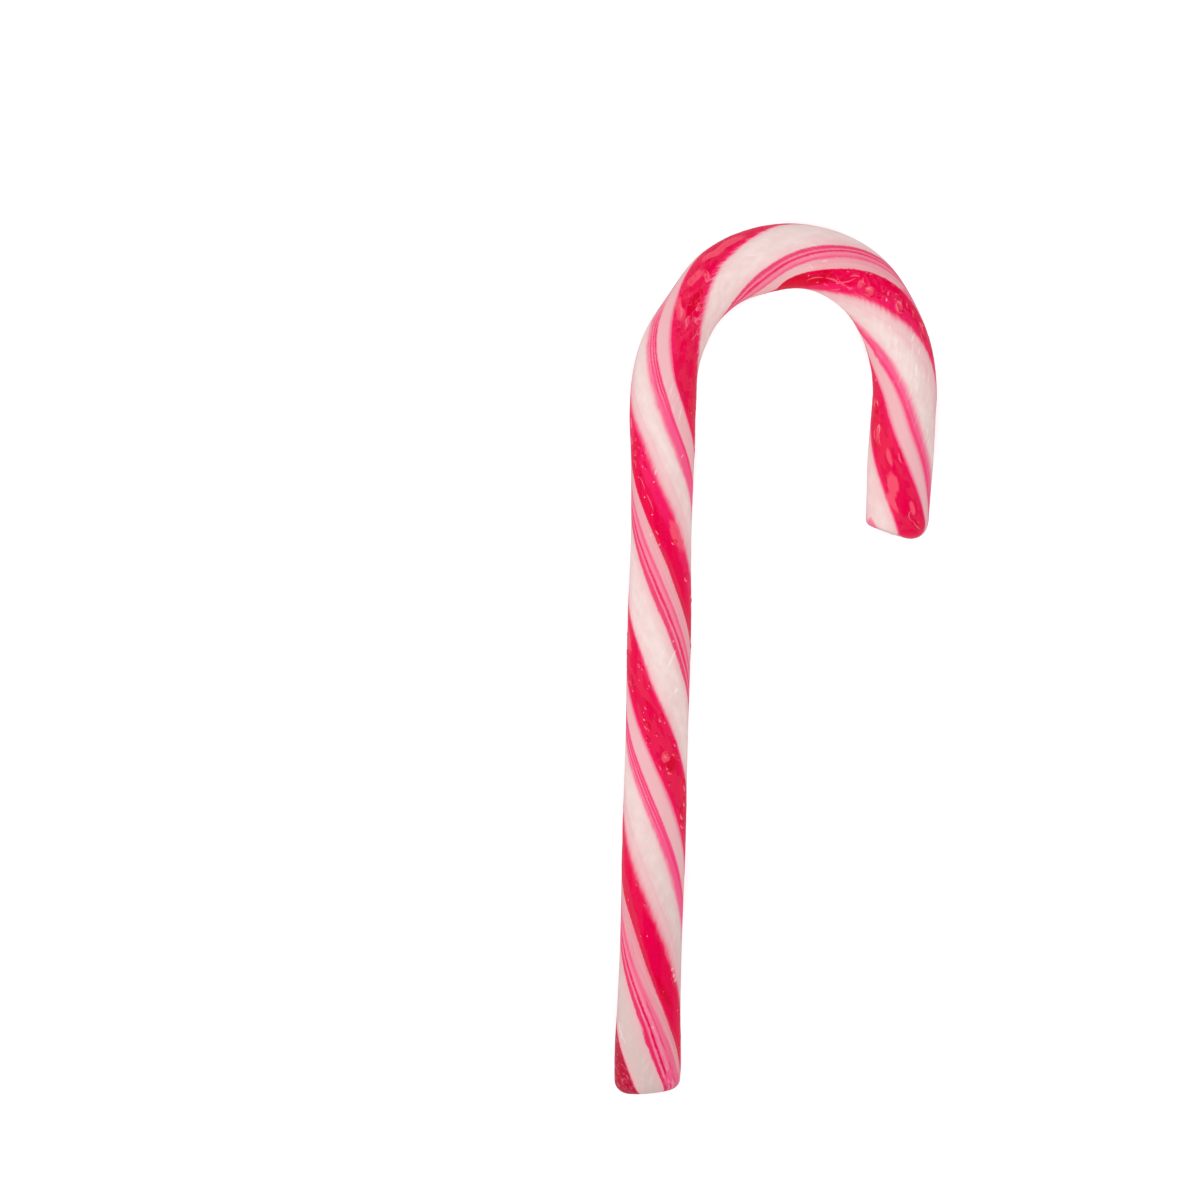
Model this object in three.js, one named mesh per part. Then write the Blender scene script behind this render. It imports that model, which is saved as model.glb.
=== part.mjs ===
// A candy cane of pulled sugar, lying on its side. Millimetres, +Z up.
// The rod is made straight, with two proud ribbons of clear candy wound round it, cut at both ends,
// and then bent into a crook, the way a sweet maker does it. Warm candy sags a little on the table,
// which leaves a narrow flat along its underside.
import * as THREE from "three";

// The rod
const rodRadius = 5.4;
const sides = 32;
const ringSpacing = 2.8;

// The crook, as a walk from the foot of the shaft: each run's length, and how far it turns to the right
const runs = [
  { length: 15.7, turn: 1.4 }, // foot
  { length: 104.7, turn: -1.0 }, // shaft, with a slight bow
  { length: 24.9, turn: 56.7 }, // shoulder
  { length: 31.4, turn: 96.1 }, // crown
  { length: 16.0, turn: 30.9 }, // far side of the bend
  { length: 22.35, turn: -2.3 }, // leg, leaning in towards the shaft
];
const footHeading = -0.9; // degrees to the right of +Y, which sets the bowed shaft along +Y

// Where the rod is thicker or thinner than rodRadius: the distance along it, how proud, and how far that reaches
const swells = [
  { at: 5, proud: 0.24, reach: 7 }, // foot, flared by the cut
  { at: 68, proud: 0.07, reach: 9 },
  { at: 94, proud: -0.13, reach: 8 },
  { at: 119, proud: 0.24, reach: 7 },
  { at: 136, proud: -0.42, reach: 4.6 }, // pinched where the bend begins
  { at: 151, proud: 0.24, reach: 7 },
  { at: 168, proud: 0.22, reach: 6 },
  { at: 202, proud: 0.3, reach: 8 }, // tip, flared by the cut
];

// Where the rod's middle strays from the centreline, to the right of the way the walk goes
const strays = [
  { at: 116, aside: -0.14, reach: 3.5 },
  { at: 134, aside: 0.16, reach: 4 },
  { at: 142.5, aside: -0.24, reach: 4 },
  { at: 152, aside: 0.24, reach: 6 },
  { at: 176, aside: 0.16, reach: 4 },
];

// The two ribbons, wound round the rod the way a left-hand thread runs
const pitch = 73.1; // length of one whole turn
const ribbonCount = 2;
const ribbonProud = 0.06;
const ribbonAngle = THREE.MathUtils.degToRad(-34); // where the first ribbon stands at the foot, from the right

// The cut ends: how far each face slopes across the rod, how much of the rod slopes with it,
// and how round the rim is on the crook's inner and outer side
const foot = { slope: 6, sloped: 14, innerRim: 1.5, outerRim: 2.4 };
const tip = { slope: -17, sloped: 16, innerRim: 0.9, outerRim: 4.2 };
const rimSteps = 5;
const rimBand = 1; // length of the rims on the straight rod, before they get their real roundness

const restDepth = 0.2; // how far the flat underside cuts into the round section

const rodLength = runs.reduce((sum, run) => sum + run.length, 0);

// The point and heading of the crook's centreline, this far along it.
function crookAt(along) {
  const place = new THREE.Vector2();
  let heading = THREE.MathUtils.degToRad(footHeading);
  let left = along;
  for (const run of runs) {
    const isLast = run === runs[runs.length - 1];
    const step = isLast ? left : Math.min(left, run.length);
    const turned = THREE.MathUtils.degToRad(run.turn) * (step / run.length);
    // The chord of a circular arc points half way between its two headings.
    const half = turned / 2;
    const chord = Math.abs(half) < 1e-9 ? step : (step * Math.sin(half)) / half;
    place.x += chord * Math.sin(heading + half);
    place.y += chord * Math.cos(heading + half);
    heading += turned;
    left -= step;
    if (left <= 0) break;
  }
  return { place, heading };
}

// A smooth hump, 1 at its middle and dying away past its reach.
function hump(along, at, reach) {
  return Math.exp(-(((along - at) / reach) ** 2));
}

// The rod's radius this far along it, all the way round.
function radiusAt(along) {
  return swells.reduce((sum, { at, proud, reach }) => sum + proud * hump(along, at, reach), rodRadius);
}

// How far the rod's middle lies to the right of the centreline.
function strayAt(along) {
  return strays.reduce((sum, { at, aside, reach }) => sum + aside * hump(along, at, reach), 0);
}

// How proud the wound ribbons stand, from -1 to 1, at an angle round the rod and a distance along it.
function ribbonAt(angle, along) {
  const wound = (2 * Math.PI * along) / pitch;
  return Math.cos(ribbonCount * (angle - wound - ribbonAngle));
}

// Half the outline of the straight rod, from the middle of one end round to the middle of the other.
// x is a share of the local radius, and y the distance along the rod. Its rims are quarter circles as
// round as rimBand, which rimmed() opens out.
function rodOutline() {
  const rimPoint = (i) => {
    const a = (Math.PI / 2) * (i / rimSteps);
    return { share: 1 - (rimBand * (1 - Math.sin(a))) / rodRadius, distance: rimBand * (1 - Math.cos(a)) };
  };
  const outline = [new THREE.Vector2(0, 0)];
  for (let i = 0; i <= rimSteps; i++) {
    const { share, distance } = rimPoint(i);
    outline.push(new THREE.Vector2(share, distance));
  }
  const rings = Math.round(rodLength / ringSpacing);
  for (let i = 2; i < rings - 1; i++) {
    outline.push(new THREE.Vector2(1, (rodLength * i) / rings));
  }
  for (let i = rimSteps; i >= 0; i--) {
    const { share, distance } = rimPoint(i);
    outline.push(new THREE.Vector2(share, rodLength - distance));
  }
  outline.push(new THREE.Vector2(0, rodLength));
  return outline;
}

// The share of the radius and the distance from a cut end, once the end's rim has its real roundness.
function rimmed(end, share, distance, angle) {
  const pastRim = distance > 1.5 * rimBand;
  if (share === 0 || pastRim) return { share, distance };
  const outward = (1 - Math.cos(angle)) / 2;
  const growth = THREE.MathUtils.lerp(end.innerRim, end.outerRim, outward) / rimBand;
  return { share: 1 - (1 - share) * growth, distance: distance * growth };
}

// How far a point of the rod is carried along it by the slope of the nearer cut.
function cutShift(across, along) {
  const slopeOf = (end, distance) =>
    Math.tan(THREE.MathUtils.degToRad(end.slope)) * (1 - THREE.MathUtils.smoothstep(distance, 0, end.sloped));
  return across * (slopeOf(foot, along) + slopeOf(tip, rodLength - along));
}

// The straight rod bent along the crook: x across it, y along it and z up become points in the part's frame.
function bentRod() {
  const rod = new THREE.LatheGeometry(rodOutline(), sides);
  const spots = rod.getAttribute("position");
  for (let i = 0; i < spots.count; i++) {
    const angle = Math.atan2(spots.getZ(i), spots.getX(i));
    const unrimmed = Math.hypot(spots.getX(i), spots.getZ(i));
    const nearFoot = spots.getY(i) < rodLength / 2;
    const end = nearFoot ? foot : tip;
    const fromEnd = nearFoot ? spots.getY(i) : rodLength - spots.getY(i);
    const { share, distance } = rimmed(end, unrimmed, fromEnd, angle);
    const along = nearFoot ? distance : rodLength - distance;
    const radius = share * (radiusAt(along) + ribbonProud * ribbonAt(angle, along));
    const across = radius * Math.cos(angle);
    const { place, heading } = crookAt(along + cutShift(across, along));
    const right = across + strayAt(along);
    const height = radiusAt(along) - restDepth + radius * Math.sin(angle);
    spots.setXYZ(
      i,
      place.x + right * Math.cos(heading),
      place.y - right * Math.sin(heading),
      Math.max(height, 0),
    );
  }
  rod.computeVertexNormals();
  return rod;
}

const candy = new THREE.MeshStandardMaterial({ color: 0xe8304f, roughness: 0.25, metalness: 0 });

const cane = new THREE.Mesh(bentRod(), candy);
cane.name = "cane";
cane.geometry.computeBoundingBox();
const middle = cane.geometry.boundingBox.getCenter(new THREE.Vector3());
cane.position.set(-middle.x, -middle.y, 0);

const part = new THREE.Group();
part.add(cane);

export default part;
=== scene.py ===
import math

import bpy
import numpy as np
from mathutils import Matrix, Vector


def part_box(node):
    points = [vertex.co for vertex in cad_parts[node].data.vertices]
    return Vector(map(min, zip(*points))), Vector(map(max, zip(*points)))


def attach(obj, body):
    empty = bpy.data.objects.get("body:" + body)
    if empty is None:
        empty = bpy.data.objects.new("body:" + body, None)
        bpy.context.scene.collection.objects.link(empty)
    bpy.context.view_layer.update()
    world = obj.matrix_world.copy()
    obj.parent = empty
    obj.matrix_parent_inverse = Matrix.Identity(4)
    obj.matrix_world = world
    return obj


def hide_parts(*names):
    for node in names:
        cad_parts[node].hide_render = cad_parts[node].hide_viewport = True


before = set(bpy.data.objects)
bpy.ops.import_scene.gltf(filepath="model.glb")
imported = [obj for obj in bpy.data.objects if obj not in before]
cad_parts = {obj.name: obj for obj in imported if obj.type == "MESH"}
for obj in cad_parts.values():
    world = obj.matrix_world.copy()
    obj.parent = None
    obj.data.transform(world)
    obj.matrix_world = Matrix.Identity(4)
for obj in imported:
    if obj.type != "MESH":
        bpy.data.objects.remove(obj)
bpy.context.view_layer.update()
print("frame loaded")

mm = 0.001
fullTurn = 2 * math.pi

# The rod: a straight stick of pulled sugar, bent into a crook. Lengths are in mm and turns in degrees.
# "along" is the distance from the foot, "around" the angle from the top of the rod to the right.
rod = {
    "radius": 5.4,
    "runs": [  # length and how far it turns to the right
        (15.7, 1.4),  # foot
        (104.7, -1.0),  # shaft, with a slight bow
        (24.9, 56.7),  # shoulder
        (31.4, 96.1),  # crown
        (16.0, 30.9),  # far side of the bend
        (22.35, -2.3),  # leg, leaning in towards the shaft
    ],
    "footHeading": -0.9,
    "swells": [  # along, how proud, reach
        (5, 0.24, 7),
        (68, 0.07, 9),
        (94, -0.13, 8),
        (119, 0.24, 7),
        (136, -0.42, 4.6),
        (151, 0.24, 7),
        (168, 0.22, 6),
        (202, 0.3, 8),
    ],
    "strays": [  # along, how far the middle lies to the right of the centreline, reach
        (116, -0.14, 3.5),
        (134, 0.16, 4),
        (142.5, -0.24, 4),
        (152, 0.24, 6),
        (176, 0.16, 4),
    ],
    "restDepth": 0.2,  # how far the flat underside cuts into the round section
    "foot": {"slope": 6, "sloped": 14, "innerRim": 1.5, "outerRim": 2.4},
    "tip": {"slope": -17, "sloped": 16, "innerRim": 0.9, "outerRim": 4.2},
}

# How finely the surface is cut up
mesh = {
    "columns": 108,  # round the rod
    "topFineness": 0.42,  # how much closer the columns stand along the top
    "bodyRings": 640,
    "rimRings": 9,
    "faceRings": 10,  # from the middle of a cut face to its rim
}

# How the stripes are wound. Angles are in degrees.
twist = {
    "perMm": 4.924,  # one turn takes 73.1 mm
    "drifts": [  # along, degrees, reach
        (55, -3, 30),
        (114, 3.2, 11),
        (176, -5.5, 20),
        (182, 11, 14),
        (218, -9, 14),
    ],
    "nudges": [  # along, colour angle, degrees it moves, reach along, reach in degrees
        (4, 44, -9, 7, 30),
        (4, 332, 15, 7, 30),
        (29, 99, 6, 7, 20),
        (48, 212, 9, 12, 16),
        (74, 44, -3.5, 6, 16),
        (77, 332, 5.5, 4, 14),
        (84, 99, -5, 6, 16),
        (107, 212, -6, 6, 14),
        (113, 150, 5, 5, 16),
        (113, 242, -12, 7, 14),
        (118, 272, -16, 7, 14),
        (126, 212, 7, 6, 14),
        (138, 272, -4, 5, 14),
        (146, 44, -7, 8, 20),
        (154, 99, -7, 6, 20),
        (175, 99, -4, 5, 20),
        (183, 150, -5, 6, 16),
        (190, 150, -12, 6, 20),
        (187, 212, 11, 12, 16),
        (149, 332, 5, 4, 16),
        (151.8, 104, 14, 2.6, 14),
        (164, 44, 4.5, 9, 14),
        (198, 212, 5, 5, 14),
        (120, 272, -3.5, 4, 14),
        (185, 242, 3, 5, 12),
        (210, 332, -4, 9, 20),
        (213, 272, -12, 8, 20),
    ],
    "lean": -3.4,  # the surface's fine strokes lean the other way, degrees for each mm
}

# The two ribbons, as colour angles: where each begins and ends
stripes = {
    "ribbonA": (97.5, 150.5),
    "ribbonB": (272.4, 331.6),
}

# The surface's small relief. Heights and lengths are in mm, places are along and around.
relief = {
    "seed": 7,
    "edgeBlur": 4,  # degrees over which it changes at a ribbon's edge
    "swell": 0.06,  # each ribbon's slow rise
    "step": 0.03,  # how proud a ribbon's glassy skin stands
    "glassWaves": [(3.4, 9, 0.05), (1.5, 20, 0.022)],  # length along, how many round, height
    "creases": [(2.2, 9, 0.16), (1.1, 15, 0.08)],  # sharp wrinkles, where it was bent
    "creaseWidth": 0.3,
    "creasesOnCream": 0.15,  # share of their height
    "fibres": [(6.0, 80, 0.008)],
    "fibresOnRibbons": 0.4,
    "bends": [(136, 1.0, 8), (150, 0.25, 9), (176, 0.8, 10)],  # along, how wrinkled, reach
    "atCut": 0.35,  # share of the relief that is left at a cut
    "cutReach": 4,
    "rimFade": (0.6, 1.0),  # shares of the radius, between which the relief rises from nothing
    "faceRough": 0.07,
    "faceGrains": [(0.9, 24, 1), (0.45, 48, 0.5)],  # length outwards, how many round, share
    "faceEdge": (0.5, 0.8),  # shares of the radius, between which a cut face gets smooth
}

# Each bubble, fold and flake is a cap laid on the skin, and the narrowest bubbles are painted white as
# glints. Lengths are in mm.
caps = {
    "rings": (0, 0.3, 0.55, 0.75, 0.88, 0.96, 1.03),  # from its top to past its edge
    "spokes": 12,
    "dome": 2.4,  # the more, the flatter its top
    "hollowReach": 0.5,
    "lobes": (0.16, 0.1),  # how much its outline swings in and out, two and three times round
    "lobeTurn": 2.4,  # radians between the lobes of one cap and the next
    "sunk": 0.1,  # how deep its bottom lies
    "glintSize": 0.15,  # a bubble narrower than this is painted white all over, as a painted glint
    "flakeHeight": 0.045,
    "foldHeight": 0.026,
    "foldCurve": (0.25, 0.7),
    "longFold": 1.25,  # folds with a greater half length
    "longCurve": 0.4,  # curve less, by this
    "litSide": 215,  # degrees round a bubble, the side of its rim given a painted highlight
    "rimLight": (0, 0.2, 0.9, 1, 0.4, 0),  # painted highlight and painted shade at each ring, but for the top
    "rimDark": (0.3, 0.4, 0.6, 0.9, 1, 0.6),
    # the folds get only a painted highlight
    "foldLight": (0.5, 0.5, 0.45, 0.3, 0.1, 0),
    # painted shade at the top of a bubble
    "topLight": -0.3,
    "white": 2,  # stands for the painted white glint of flakes and of the narrowest bubbles
}

# Bubbles and blisters that show best: along, around, half length, half width, height, how hollow
bubbles = [
    (66.6, -21, 0.72, 0.4, 0.14, 0.6), (63.2, -19, 0.85, 0.55, 0.16, 0.7),
    (64.6, 6, 0.75, 0.42, 0.14, 0.5), (70.2, -16, 0.5, 0.34, 0.1, 0.4),
    (73.8, -38, 0.45, 0.35, 0.12, 0.3), (73.0, -30, 0.35, 0.3, 0.1, 0.2),
    (70.9, -57, 1.1, 0.5, 0.12, 0.8), (69.4, -50, 0.6, 0.35, 0.1, 0.4),
    (60.2, 35, 0.55, 0.42, 0.14, 0.3), (58.5, 33, 0.5, 0.5, 0.12, 0.6),
    (55.4, 28, 0.5, 0.75, 0.14, 0.1), (56.4, 8, 0.8, 0.38, 0.12, 0.7), (58.2, 18, 0.6, 0.5, 0.1, 0.2),
    (60.5, -18, 0.4, 0.3, 0.1, 0.2), (53.1, 65, 1.3, 0.6, 0.14, 0.2), (50.3, 66, 1.0, 0.6, 0.14, 0.2),
    (48.2, 58, 1.2, 0.8, 0.16, 0.3), (46.3, 61, 0.9, 0.8, 0.14, 0.2), (106.1, -47, 0.5, 0.3, 0.1, 0.2),
    (96.7, -7, 0.9, 0.5, 0.1, 0.7), (94.7, 24, 0.5, 0.55, 0.12, 0.5), (88.7, 55, 0.8, 0.8, 0.12, 0.3),
    (193.4, 62, 1.4, 0.6, 0.12, 0.3), (198.3, 52, 1.9, 0.6, 0.12, 0.8), (200.3, 5, 0.35, 0.5, 0.1, 0.1),
    (213.0, -36, 0.4, 0.3, 0.1, 0.5), (136.5, 10, 0.7, 0.5, 0.12, 0.2), (171.7, 7, 1.2, 0.6, 0.12, 0.9),
    (169.3, -12, 0.35, 0.25, 0.1, 0.3), (170.0, -15, 0.5, 0.35, 0.1, 0.7),
    (176.5, -26, 1.2, 0.5, 0.12, 0.8), (181.2, -53, 1.4, 0.45, 0.14, 0.7),
    (162.2, 50, 0.6, 0.4, 0.1, 0.7), (160.0, 40, 0.5, 0.3, 0.1, 0.3), (2.9, 43, 1.0, 0.55, 0.12, 0.7),
    (4.6, 37, 0.5, 0.3, 0.1, 0.5), (104.9, -16, 0.14, 0.14, 0.08, 0.0),
    (102.3, -34, 0.16, 0.14, 0.08, 0.0), (99.3, -18, 0.14, 0.13, 0.08, 0.0),
]

# Folds and curls in the ribbons, low caps that carry a painted highlight: along, around, half length, half
# width, lean in degrees
folds = [
    (134.3, -16, 1.3, 0.2, -44),
    (133.5, 4, 1.2, 0.2, -8),
    (134.8, 20, 1.0, 0.2, 16),
    (131.8, 31, 1.4, 0.15, 4),
    (140.8, -11, 0.5, 0.2, 90),
    (141.6, -17, 0.9, 0.15, -65),
    (161.1, 41, 1.9, 0.15, -24),
    (164.6, 31, 1.8, 0.15, -8),
    (167.4, 18, 1.3, 0.15, -48),
    (167.9, 4, 1.0, 0.15, -30),
    (169.6, 2, 0.7, 0.15, 24),
    (163.8, 46, 0.6, 0.15, 13),
    (166.2, 45, 1.5, 0.12, -36),
    (171.1, 4, 0.9, 0.14, -65),
    (173.8, -19, 0.5, 0.17, 56),
    (176.0, -24, 0.9, 0.2, 63),
    (176.4, -31, 0.9, 0.17, 9),
    (176.5, -20, 0.6, 0.2, 30),
    (176.8, -41, 0.6, 0.12, 19),
    (178.2, -46, 0.8, 0.14, 32),
    (180.5, -58, 1.3, 0.16, 56),
    (181.9, -46, 0.6, 0.14, 5),
    (182.2, -65, 1.3, 0.14, 0),
    (198.1, 59, 1.5, 0.14, -9),
    (198.3, 46, 1.7, 0.14, -2),
    (202.0, 5, 1.2, 0.12, -16),
    (211.8, -19, 1.0, 0.14, -15),
    (213.4, -35, 1.2, 0.14, -65),
    (115.1, -72, 1.2, 0.5, -15),
    (112.0, -74, 0.9, 0.5, -4),
    (110.1, -59, 0.9, 0.15, -22),
    (108.1, -60, 1.0, 0.16, -40),
    (104.7, -39, 1.4, 0.12, -25),
    (101.5, -23, 2.1, 0.1, -25),
    (110.0, -35, 0.9, 0.2, 27),
    (110.2, -28, 1.4, 0.14, 18),
    (108.7, -20, 0.9, 0.14, 9),
    (111.5, -30, 0.7, 0.14, 23),
    (3.7, 43, 0.8, 0.16, 42),
    (2.1, 43, 0.6, 0.14, -46),
    (3.2, 45, 0.8, 0.14, 20),
    (192.9, 68, 1.5, 0.3, -21),
]

# Flakes where the cream is chipped, each painted white as a painted highlight on the chip: along, around,
# half length, half width, lean in degrees
flakes = [
    (74.7, 24, 1.4, 0.28, 25),
    (69.3, 35, 0.6, 0.3, 50),
    (11.5, -66, 0.6, 0.17, -31),
    (10.5, -61, 0.8, 0.21, -49),
    (9.6, -55, 0.4, 0.17, -23),
    (9.0, -48, 0.5, 0.14, -30),
    (11.6, 7, 0.35, 0.11, -26),
    (181.8, -26, 0.9, 0.15, 38),
    (184.0, -33, 0.6, 0.12, 36),
    (20.4, 48, 0.45, 0.25, 30),
    (19.6, 52, 0.35, 0.25, 0),
    (21.5, 43, 0.3, 0.2, 50),
    (187.0, -20, 1.2, 0.2, 8),
    (159.8, 21, 0.5, 0.12, 30),
    (161.9, 5, 0.5, 0.1, -20),
]

# Scuffed places, with white streaks in the cream, in the same way
scuffs = [
    (150.5, -24, 4.5, 2.0, -20),
    (158.5, -22, 5.0, 3.0, -20),
    (183.5, -4, 5.0, 3.2, -20),
    (187.5, -22, 7.0, 3.0, -20),
    (190.0, 8, 5.0, 2.0, -25),
    (197.0, -34, 6.0, 2.0, -20),
    (20.5, 50, 2.5, 1.5, 0),
    (82.0, -84, 5.0, 2.0, 0),
    (119.0, 20, 6.0, 1.5, -25),
]

# More bubbles and flakes, strewn over the rod; the narrowest bubbles are painted white as glints
strewing = {
    "seed": 8,
    "kinds": [  # where, how many, smallest and largest half width, height as a share of that
        ("ribbons", 55, 0.16, 0.4, 0.34),
        ("ribbons", 34, 0.06, 0.1, 0.5),
        ("anywhere", 44, 0.04, 0.07, 0.45),
    ],
    "crowds": [(62, 15), (111, 6), (62, 10), (90, 18), (176, 8), (22, 12)],  # along, reach
    "spread": 0.7,  # how far they stray from the middle of a crowd, as a share of its reach
    "fromCut": 8,  # mm that they keep off the cuts
    "side": 140,  # degrees from the top, at most
    "farthest": 150,  # those on ribbons that come out farther round are dropped
    "inset": 4,  # degrees that they keep off a ribbon's edges
    "onRibbonA": 0.45,  # share of those on ribbons
    "stretch": (1, 1.9),  # half length over half width
    "hollow": (0, 0.8),
    "lean": (-20, 20),
    "flakes": 14,
    "flakeLength": (0.2, 0.5),  # half lengths and half widths
    "flakeWidth": (0.07, 0.14),
    "flakeLean": (5, 45),
}

# Dark clear spots in the ribbons, and pale ones: along, around, half length, half width, lean in degrees
clearSpots = [
    (75.6, -54, 3.4, 1.3, 0),
    (134.7, 18, 1.3, 0.6, -8),
    (131.3, 25, 1.4, 0.5, -20),
    (143.5, -44, 1.0, 0.9, 7),
    (162.8, 26, 5.1, 0.8, -29),
    (173.3, -1, 0.7, 0.5, -8),
    (174.2, -38, 2.5, 0.7, -27),
    (178.9, -53, 1.5, 0.7, 30),
    (181.5, -53, 0.9, 0.35, 23),
    (183.2, -61, 0.9, 0.3, 3),
    (199.1, 57, 1.4, 0.25, -16),
    (201.6, 3, 1.2, 0.3, -13),
    (210.0, -7, 1.8, 0.8, -6),
    (212.7, -29, 0.7, 0.5, -39),
    (215.1, -39, 3.5, 1.0, -83),
    (128.0, 22, 3.0, 0.8, -10),
    (110.7, -53, 3.6, 0.7, -10),
    (102.7, -27, 3.4, 0.5, -25),
    (167.0, 17, 2.6, 1.2, -25),
    (135.5, 2, 2.0, 1.2, -10),
    (176.8, -36, 1.5, 0.6, -30),
]
deepSpots = [  # darker still
    (56.9, 27, 1.5, 1.0, 0),
    (137.1, -4, 2.8, 1.1, -8),
    # these two, at the inner side of the bend, are painted shade there as well as darker candy
    (156.5, 60, 5.0, 2.2, -28),
    (161.5, 42, 4.6, 1.6, -30),
    (16.8, 32, 3.9, 0.5, -29),
]
paleSpots = [
    (136.6, 10, 0.9, 0.6, -45),
    (139.9, -33, 2.0, 0.9, 15),
    (134.3, -15, 1.3, 0.7, -62),
    (134.3, 18, 1.0, 0.55, -60),
    (141.2, -16, 1.1, 0.5, -87),
    (132.9, 7, 1.4, 0.3, -10),
    (147.0, -52, 3.4, 1.0, 0),
    (144.3, -47, 2.2, 0.9, 10),
    (134.5, -23, 2.3, 0.8, -45),
    (169.5, 9, 0.8, 0.5, 66),
    (171.7, 7, 0.9, 0.8, -53),
    (176.6, -23, 1.2, 0.8, 14),
    (181.1, -53, 1.2, 0.6, 8),
    (198.3, 51, 1.7, 0.45, -7),
    (201.9, 24, 1.9, 0.5, -21),
    (206.7, 16, 2.6, 1.0, -12),
    (209.7, 14, 2.2, 0.6, -31),
    (210.4, -23, 1.7, 0.5, -16),
    (96.0, 28, 4.0, 1.0, -25),
    (57.9, 17, 1.0, 0.8, 0),
    (78.0, -72, 3.0, 1.0, -25),
    (24.0, 36, 4.0, 0.8, -25),
]
# Pink stains in the cream, in the same way
stains = [
    (213.8, 66, 1.8, 2.0, -30),
    (3.0, 42, 2.2, 1.2, 20),
    (158.0, 60, 3.0, 0.6, -25),
    (176.4, -61, 3.0, 1.3, -25),
    (2.5, 68, 2.0, 0.8, 0),
]
# Where the dull edge of ribbon A is wider or narrower: along, degrees, reach
dullReach = [(44, 19, 13), (16, -9, 9), (104, -14, 12), (166, -26, 16)]


def smooth(value, low, high):
    # 0 up to low, 1 from high, and an S curve between them
    t = np.clip((value - low) / (high - low), 0, 1)
    return t * t * (3 - 2 * t)


def humps(along, table):
    # sum of height * exp(-((along - at) / reach)^2)
    total = np.zeros_like(along)
    for at, height, reach in table:
        total += height * np.exp(-(((along - at) / reach) ** 2))
    return total


def wrapped(degrees):
    # the same angle between -180 and 180
    return np.mod(degrees + 180, 360) - 180


def walkCrook(along):
    # The centreline is a chain of circular arcs. A step of length s that turns by t moves along the chord
    # s * sin(t/2) / (t/2), half way between its two headings. The end runs go on past their ends.
    x = np.zeros_like(along)
    y = np.zeros_like(along)
    heading = np.full_like(along, math.radians(rod["footHeading"]))
    start = 0.0
    for index, (length, turn) in enumerate(rod["runs"]):
        isFirst = index == 0
        isLast = index == len(rod["runs"]) - 1
        step = along - start
        if not isFirst:
            step = np.maximum(step, 0)
        if not isLast:
            step = np.minimum(step, length)
        half = math.radians(turn) * step / length / 2
        chord = step * np.sinc(half / math.pi)
        x += chord * np.sin(heading + half)
        y += chord * np.cos(heading + half)
        heading += 2 * half
        start += length
    return x, y, heading


def cutSlope(end, distance):
    # tan(slope) at the cut face, fading to nothing as the distance from it reaches "sloped"
    return math.tan(math.radians(end["slope"])) * (1 - smooth(distance, 0, end["sloped"]))


def rimOf(end, around):
    # The rim's roundness swings from the inner to the outer side: lerp by (1 - sin(around)) / 2
    outward = (1 - np.sin(around)) / 2
    return end["innerRim"] + (end["outerRim"] - end["innerRim"]) * outward


def layOutRod(length):
    # Two parameters: the ring number, from the middle of the foot's face to the middle of the tip's, and
    # the column number, round the rod. Gives share (of the local radius), along and around.
    turns = (np.arange(mesh["columns"]) / mesh["columns"] - 0.5) * fullTurn
    around = (turns - mesh["topFineness"] * np.sin(turns))[None, :]
    footRim = rimOf(rod["foot"], around)
    tipRim = rimOf(rod["tip"], around)

    face = (np.arange(1, mesh["faceRings"]) / mesh["faceRings"])[:, None]
    bend = (np.arange(mesh["rimRings"]) / mesh["rimRings"] * fullTurn / 4)[:, None]
    body = (np.arange(mesh["bodyRings"] + 1) / mesh["bodyRings"])[:, None]

    def endOf(rim):
        inner = 1 - rim / rod["radius"]
        share = np.vstack([face * inner, 1 - (1 - np.sin(bend)) * rim / rod["radius"]])
        distance = np.vstack([face * 0 * rim, (1 - np.cos(bend)) * rim])
        return share, distance

    footShare, footAlong = endOf(footRim)
    tipShare, tipBack = endOf(tipRim)
    bodyAlong = footRim + (length - footRim - tipRim) * body
    share = np.vstack([footShare, np.ones_like(bodyAlong), tipShare[::-1]])
    along = np.vstack([footAlong, bodyAlong, length - tipBack[::-1]])
    return share, along, np.broadcast_to(around, along.shape)


def layOutCaps(rows):
    # A closed cap for each row. With r from 0 at its middle to 1 at its edge, its height is
    # height * (1 - r^dome) less height * hollow * exp(-(r / hollowReach)^2), and the edge is sunk out of
    # sight. A fold is curved: curve * (long^2 / half length - half length / 3) is added sideways. No outline
    # is quite an oval: it is 1 + first lobe * cos(2 spoke + turned) + second lobe * cos(3 spoke - turned).
    at, aside, halfLength, halfWidth, height, hollow, lean, curve = rows.T[:, :, None, None]
    turned = np.arange(len(rows))[:, None, None] * caps["lobeTurn"]
    r = np.array(caps["rings"])[None, :, None]
    spoke = (np.arange(caps["spokes"]) / caps["spokes"] * fullTurn)[None, None, :]
    twoLobes, threeLobes = caps["lobes"]
    lobes = 1 + twoLobes * np.cos(2 * spoke + turned) + threeLobes * np.cos(3 * spoke - turned)
    long = halfLength * r * lobes * np.cos(spoke)
    wide = halfWidth * r * lobes * np.sin(spoke) + curve * (long**2 / halfLength - halfLength / 3)
    along = at + long * np.cos(np.radians(lean)) - wide * np.sin(np.radians(lean))
    sideways = long * np.sin(np.radians(lean)) + wide * np.cos(np.radians(lean))
    dent = height * hollow * np.exp(-((r / caps["hollowReach"]) ** 2))
    raised = height * (1 - r ** caps["dome"]) - dent + 0 * along
    return along, np.radians(aside) + sideways / rod["radius"], raised


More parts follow.
